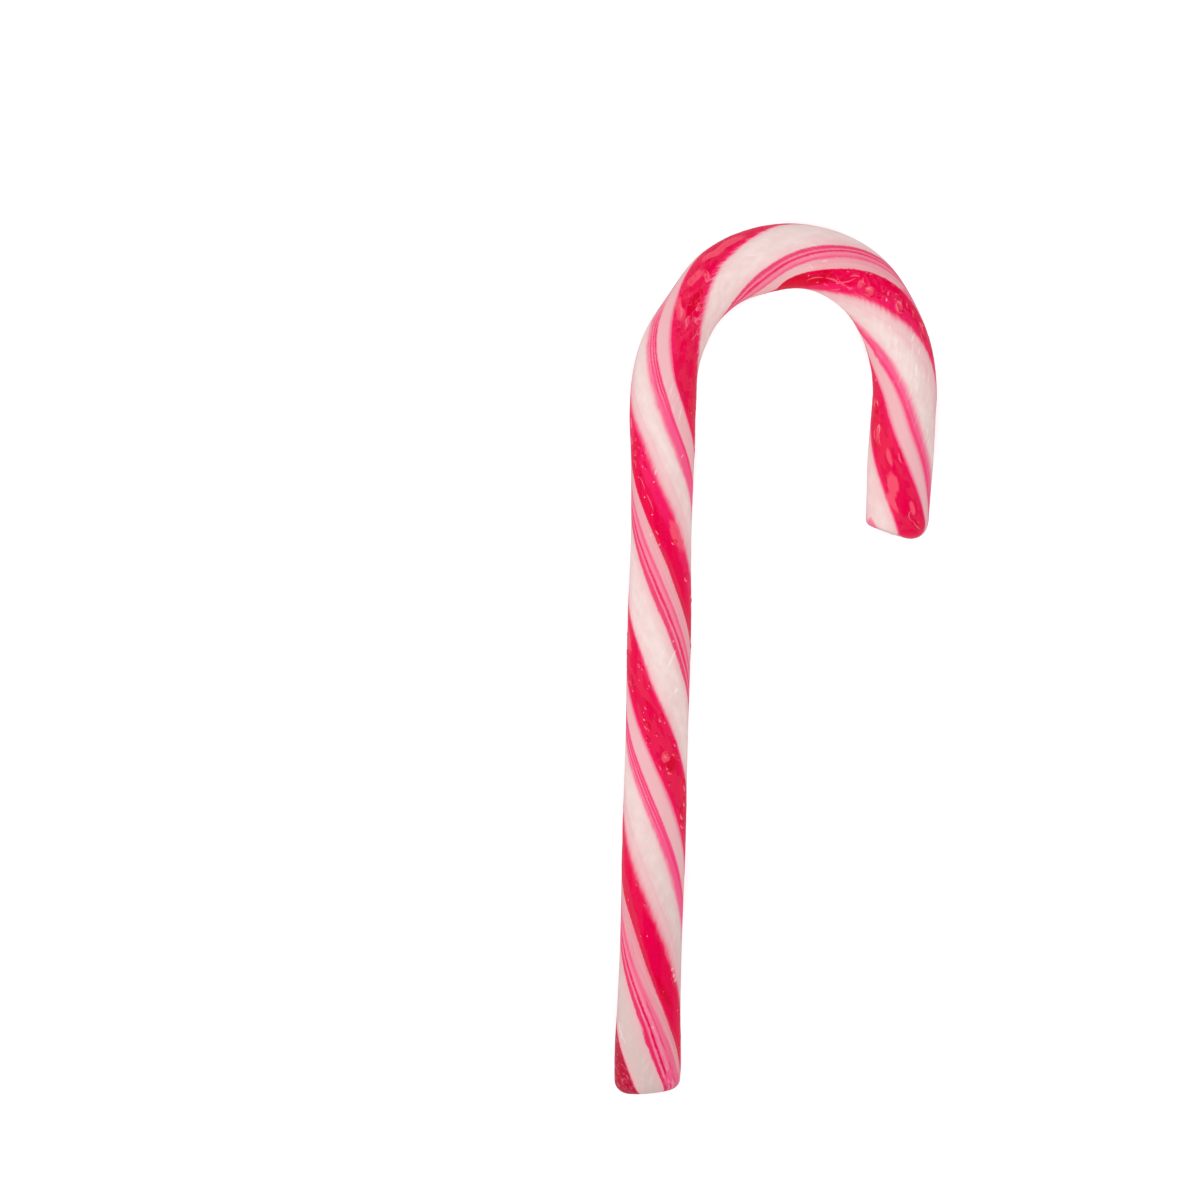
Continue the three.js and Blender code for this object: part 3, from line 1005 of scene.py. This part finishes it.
def sugarMaterial():
    material = bpy.data.materials.new("pulledSugar")
    material.use_nodes = True
    tree = material.node_tree
    shader = next(node for node in tree.nodes if node.type == "BSDF_PRINCIPLED")
    group = stripeBandGroup()

    def placeOf(label):
        return addNode(tree, "ShaderNodeAttribute", attribute_name=label).outputs["Vector"]

    def split(vector):
        parts = addNode(tree, "ShaderNodeSeparateXYZ")
        tree.links.new(vector, parts.inputs[0])
        return parts.outputs

    def between(*sources):
        node = addNode(tree, "ShaderNodeGroup", node_tree=group)
        for socket, source in zip(node.inputs, sources):
            feed(tree, socket, source)
        return node.outputs["Mask"]

    def plus(first, second):
        return calc(tree, "ADD", first, second)

    def times(first, second):
        return calc(tree, "MULTIPLY", first, second)

    def less(mask):
        return calc(tree, "SUBTRACT", 1.0, mask)

    def most(*masks):
        top = masks[0]
        for mask in masks[1:]:
            top = calc(tree, "MAXIMUM", top, mask)
        return top

    def shaken(value, noise, much):
        return plus(value, times(calc(tree, "SUBTRACT", noise, 0.5), much))

    def fade(value, name):
        return remap(tree, value, *fades[name])

    def over(under, mask, name):
        return tint(tree, mask, under, sugar[name])

    places = {"wound": placeOf("woundPlace"), "leaning": placeOf("leanPlace")}
    noise = {name: grain(tree, places[place], *rest) for name, (place, *rest) in noises.items()}
    clearSpot, deepSpot, paleSpot = split(placeOf("spots"))
    stained, scuffed, bent = split(placeOf("wear"))
    dullShift, paintedCapLight, _ = split(placeOf("shade"))
    cosine, sine, along = split(places["wound"])
    angle = calc(tree, "FLOORED_MODULO", times(calc(tree, "ARCTAN2", sine, cosine), 180 / math.pi), 360.0)
    outOf = calc(tree, "SQRT", plus(times(cosine, cosine), times(sine, sine)))
    skin = fade(shaken(outOf, noise["mottle"], outlines["core"]), "skin")

    # the kinds of edge: the colour angle, swayed by one noise after another
    worn = calc(tree, "MINIMUM", times(bent, bentStroke), 1.0)
    near = shaken(angle, noise["slow"], sways["slow"])
    fibrous = shaken(near, noise["fibres"], sways["fibres"])
    neat = shaken(fibrous, noise["fringe"], sways["neatFringe"])
    crisp = shaken(fibrous, noise["fringe"], plus(times(bent, sways["bentFringe"]), sways["fringe"]))
    ragged = shaken(near, noise["strokes"], sways["raggedStrokes"])
    ragged = shaken(ragged, noise["film"], sways["raggedFilm"])
    edges = {
        "near": near,
        "neat": neat,
        "crisp": crisp,
        "ragged": ragged,
        "lobed": shaken(crisp, noise["strokes"], times(worn, sways["lobes"])),
        "lobedThreads": shaken(neat, noise["strokes"], times(worn, fade(along, "threadLobes"))),
        "smeared": shaken(ragged, noise["strokes"], times(worn, sways["smear"])),
        "dull": plus(shaken(angle, noise["film"], sways["dullEdge"]), times(dullShift, -1.0)),
        "clear": shaken(near, noise["film"], sways["clearEdge"]),
    }

    def band(name, startBlur=None, end=None, endBlur=None):
        # one of the bands, with a value from a node in place of one of its own
        startEdge, start, ownStartBlur, endEdge, ownEnd, ownEndBlur = bands[name]
        return between(
            edges[startEdge],
            start,
            ownStartBlur if startBlur is None else startBlur,
            edges[endEdge],
            ownEnd if end is None else end,
            ownEndBlur if endBlur is None else endBlur,
        )

    # cream, with painted shade darkening it towards the foot, and pink bled into it on both sides of every
    # stripe
    colour = tint(tree, fade(noise["mottle"], "creamShade"), sugar["cream"], sugar["creamShade"])
    colour = over(colour, fade(along, "paintedFootShade"), "paintedFootShade")
    colour = over(colour, fade(noise["strokes"], "milky"), "creamLight")
    onCrown = times(fade(along, "crownStart"), fade(along, "crownEnd"))
    bled = most(band("bledBeforeA"), band("bledAfterA"), band("bledBeforeB"), band("bledAfterB"))
    colour = over(colour, times(bled, fade(onCrown, "bledOnCrown")), "palePink")
    rosyBeforeB = times(band("rosyBeforeB"), strengths["rosyBeforeB"])
    rosyAfterB = band("rosyAfterB", end=plus(times(bent, rosyBent), bands["rosyAfterB"][4]))
    colour = over(colour, most(band("rosyAfterA"), rosyBeforeB, rosyAfterB), "rosePink")
    dusky = times(band("dusky"), fade(noise["fibres"], "duskyFibres"))
    dusky = times(times(dusky, fade(onCrown, "duskyOnCrown")), fade(along, "duskyFoot"))
    colour = over(colour, dusky, "duskyPink")

    # the two bands between the ribbons: the second is soft on the leg, patchy where it was bent, and pale
    # over the top of the crook
    groundA = band("threadsA", end=plus(fade(along, "widerFoot"), bands["threadsA"][4]))
    softer = fade(along, "softer")
    startBlur, endBlur = (
        calc(tree, "MULTIPLY_ADD", softer, wider, blur)
        for wider, blur in zip(softBlurs, (bands["threadsB"][2], bands["threadsB"][5]))
    )
    patchy = less(times(fade(noise["film"], "patchy"), bent))
    overTop = most(fade(along, "overTop"), fade(along, "afterTop"))
    groundB = times(band("threadsB", startBlur=startBlur, endBlur=endBlur), times(patchy, overTop))
    colour = over(colour, times(groundA, strengths["threadGround"]), "threadGround")
    colour = over(colour, groundB, "warmPink")
    # and the threads in them
    turned = times(calc(tree, "SUBTRACT", along, combedAt), math.radians(twist["perMm"]))
    broken = times(fade(noise["strokes"], "brokenThreads"), fade(along, "footThreads"))
    combing = times(fade(calc(tree, "COSINE", turned), "combed"), times(broken, fade(along, "combedLeg")))
    wandering = shaken(crisp, noise["wander"], fade(along, "wandering"))
    for table, shown in (
        (threads, broken),
        (innerEdge, times(broken, overTop)),
        (combed, times(combing, overTop)),
    ):
        for at, halfWidth, blur, strength, shade in table:
            line = between(wandering, at - halfWidth, blur, crisp, at + halfWidth, blur)
            colour = over(colour, times(times(line, shown), strength), shade)
    stained = fade(shaken(stained, noise["strokes"], outlines["stain"]), "stained")
    colour = over(colour, stained, "warmPink")

    # ribbon A is dull along one edge, clear along its middle and hot pink along the other, and ribbon B is
    # hot pink along both, and darker and gritty at the foot
    # coral patches in the crimson: partly the candy's own colour, partly a painted reflection of the lamps
    # in its glassy skin
    red = tint(tree, fade(noise["film"], "coral"), sugar["crimson"], sugar["coral"])
    red = over(red, fade(noise["film"], "clearFilm"), "clearRed")
    red = over(red, times(band("pinkA"), fade(along, "pinkFoot")), "hotPink")
    red = over(red, band("clearA", end=fade(along, "clearEnd")), "clearRed")
    red = over(red, times(band("dullA"), strengths["dull"]), "dullRed")
    pinkB = times(most(band("pinkStartB"), band("pinkEndB")), strengths["pinkB"])
    red = over(red, pinkB, "hotPink")
    gritty = tint(tree, fade(noise["grit"], "grit"), sugar["darkFootRed"], sugar["duskyPink"])
    red = tint(tree, times(band("footB"), fade(along, "darkerFootB")), red, gritty)
    red = over(red, times(fade(noise["strokes"], "brushed"), bent), "petal")
    for spot, (shade, strength) in zip((clearSpot, deepSpot, paleSpot), spotShades):
        spotted = fade(shaken(spot, noise["mottle"], outlines["spot"]), "spotted")
        red = over(red, times(spotted, strength), shade)
    ribbon = most(band("ribbonA"), band("ribbonB"))
    colour = tint(tree, ribbon, colour, red)

    # folds in the glass, only where it was bent, drawn as painted shade and a painted highlight on the two
    # sides of each fold
    folded = times(fade(noise["film"], "broken"), times(bent, ribbon))
    litCurl, hollow = (
        times(between(noise["eddies"], start, startBlur, noise["eddies"], end, endBlur), folded)
        for start, startBlur, end, endBlur in (foldSides["litCurl"], foldSides["hollow"])
    )
    colour = over(colour, times(hollow, strengths["hollow"]), "clearRed")
    colour = over(colour, times(litCurl, strengths["litCurl"]), "petal")
    # white streaks in the scuffed places, fewer in the red and pink
    torn = times(
        fade(shaken(scuffed, noise["mottle"], outlines["scuff"]), "scuffed"),
        fade(noise["streaks"], "streaks"),
    )
    inColour = most(ribbon, groundA, groundB)
    torn = times(torn, less(times(inColour, 1 - strengths["tornOnRed"])))
    colour = over(colour, times(torn, strengths["torn"]), "glintAndScuffWhite")

    # painted highlights on the lit rims of the bubbles and on the folds, painted shade on the rest of the
    # bubbles' rims and their middles, and painted white glints on the narrowest bubbles and on the flakes
    white = tint(tree, strengths["glintAndScuffWhite"], colour, sugar["glintAndScuffWhite"])
    colour = over(colour, times(fade(paintedCapLight, "bubbleDark"), ribbon), "deepRed")
    colour = over(colour, fade(paintedCapLight, "bubbleLight"), "shine")
    colour = tint(tree, fade(paintedCapLight, "white"), colour, white)

    # the cut faces show the white core inside a red skin
    core = tint(tree, fade(noise["slow"], "core"), sugar["cream"], sugar["creamShade"])
    tree.links.new(tint(tree, skin, core, colour), shader.inputs["Base Color"])

    glassy = times(most(ribbon, times(most(groundA, groundB), strengths["threadGloss"])), skin)
    rough = plus(fade(glassy, "gloss"), times(noise["mottle"], sugar["mottledGloss"]))
    tree.links.new(rough, shader.inputs["Roughness"])
    shader.inputs["IOR"].default_value = sugar["ior"]
    shader.inputs["Specular IOR Level"].default_value = sugar["specular"]

    normal = None
    for source, depth in (
        (times(fade(noise["film"], "filmEdge"), ribbon), sugar["filmDepth"]),
        (litCurl, sugar["curlDepth"]),
        (torn, sugar["tornDepth"]),
        (noise["strokes"], sugar["pitDepth"]),
    ):
        bump = addNode(tree, "ShaderNodeBump")
        bump.inputs["Distance"].default_value = depth
        tree.links.new(source, bump.inputs["Height"])
        if normal:
            tree.links.new(normal, bump.inputs["Normal"])
        normal = bump.outputs[0]
    tree.links.new(normal, shader.inputs["Normal"])
    return material


cane = makeCane()
cane.data.materials.append(sugarMaterial())
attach(cane, "root")
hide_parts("cane")
print("cane made:", sum(len(face.vertices) - 2 for face in cane.data.polygons), "triangles")


studio = {
    "floorColour": (0.75, 0.75, 0.75, 1.0),
    "floorInGloss": (0.35, 0.33, 0.33, 1.0),
    "floorHalf": 2.0,
    "floorGlow": 0.68,
    "floorRoughness": 0.9,
    "floorSpecular": 0.1,
    "world": 0.54,  # the tent's soft light, which doesn't show in the gloss
    "fill": {  # metres and watts; this doesn't show in the gloss either
        "place": (0.0, 0.03, 0.22),
        "size": 0.13,
        "power": 0.16,
    },
    "boxDistance": 1.0,  # metres from the cane
    "boxes": [  # compass angle from +X and tilt from straight above in degrees, size in metres, watts
        (180, 58, 1.0, 1.7),
        (5, 62, 0.9, 0.7),
        (90, 58, 0.9, 1.4),
        (270, 66, 0.7, 0.5),
        (228, 50, 0.22, 1.2),  # small and bright, for the bubbles
    ],
}


def makeFloor():
    half = studio["floorHalf"]
    data = bpy.data.meshes.new("studioFloor")
    corners = [(-half, -half, 0), (half, -half, 0), (half, half, 0), (-half, half, 0)]
    data.from_pydata(corners, [], [(0, 1, 2, 3)])
    floor = bpy.data.objects.new("studioFloor", data)
    bpy.context.scene.collection.objects.link(floor)
    material = bpy.data.materials.new("palePaper")
    material.use_nodes = True
    tree = material.node_tree
    shader = next(node for node in tree.nodes if node.type == "BSDF_PRINCIPLED")
    shader.inputs["Roughness"].default_value = studio["floorRoughness"]
    shader.inputs["Specular IOR Level"].default_value = studio["floorSpecular"]
    shader.inputs["Emission Color"].default_value = studio["floorColour"]
    # in the cane's gloss the paper is darker and doesn't glow
    inGloss = addNode(tree, "ShaderNodeLightPath").outputs["Is Glossy Ray"]
    paper = tint(tree, inGloss, studio["floorColour"], studio["floorInGloss"])
    glow = calc(tree, "MULTIPLY", calc(tree, "SUBTRACT", 1.0, inGloss), studio["floorGlow"])
    tree.links.new(paper, shader.inputs["Base Color"])
    tree.links.new(glow, shader.inputs["Emission Strength"])
    data.materials.append(material)


def addLamp(name, size, power):
    light = bpy.data.lights.new(name, "AREA")
    light.size = size
    light.energy = power
    lamp = bpy.data.objects.new(name, light)
    bpy.context.scene.collection.objects.link(lamp)
    return lamp


def makeLights():
    for index, (compass, tilt, size, power) in enumerate(studio["boxes"]):
        lamp = addLamp(f"softBox{index}", size, power)
        side = math.radians(compass)
        lean = math.radians(tilt)
        way = Vector((math.sin(lean) * math.cos(side), math.sin(lean) * math.sin(side), math.cos(lean)))
        lamp.location = way * studio["boxDistance"]
        lamp.rotation_euler = way.to_track_quat("Z", "Y").to_euler()
    fill = addLamp("fillBox", studio["fill"]["size"], studio["fill"]["power"])
    fill.location = studio["fill"]["place"]
    fill.visible_glossy = False
    world = bpy.data.worlds.new("studioWorld")
    world.use_nodes = True
    background = next(node for node in world.node_tree.nodes if node.type == "BACKGROUND")
    background.inputs["Color"].default_value = (1, 1, 1, 1)
    background.inputs["Strength"].default_value = studio["world"]
    bpy.context.scene.world = world
    world.cycles_visibility.glossy = False


shot = {
    "over": (-30.80, 11.17),  # mm, the point that the camera looks straight down on
    "leaning": -1.38,  # degrees that the camera is turned
    "width": 206.9,  # mm, what the picture takes in from side to side at the rod's middle height
    "lens": 120.0,
    "sensor": 36.0,
}


def makeCamera():
    lens = bpy.data.cameras.new("shotCamera")
    lens.lens = shot["lens"]
    lens.sensor_width = shot["sensor"]
    lens.sensor_fit = "HORIZONTAL"
    distance = shot["width"] * shot["lens"] / shot["sensor"] * mm
    camera = bpy.data.objects.new("shotCamera", lens)
    place = Vector((shot["over"][0] * mm, shot["over"][1] * mm, rod["radius"] * mm + distance))
    camera.matrix_world = Matrix.Translation(place) @ Matrix.Rotation(math.radians(-shot["leaning"]), 4, "Z")
    bpy.context.scene.collection.objects.link(camera)
    bpy.context.scene.camera = camera


makeFloor()
makeLights()
makeCamera()
bpy.context.scene.view_settings.view_transform = "Standard"
print("studio set")
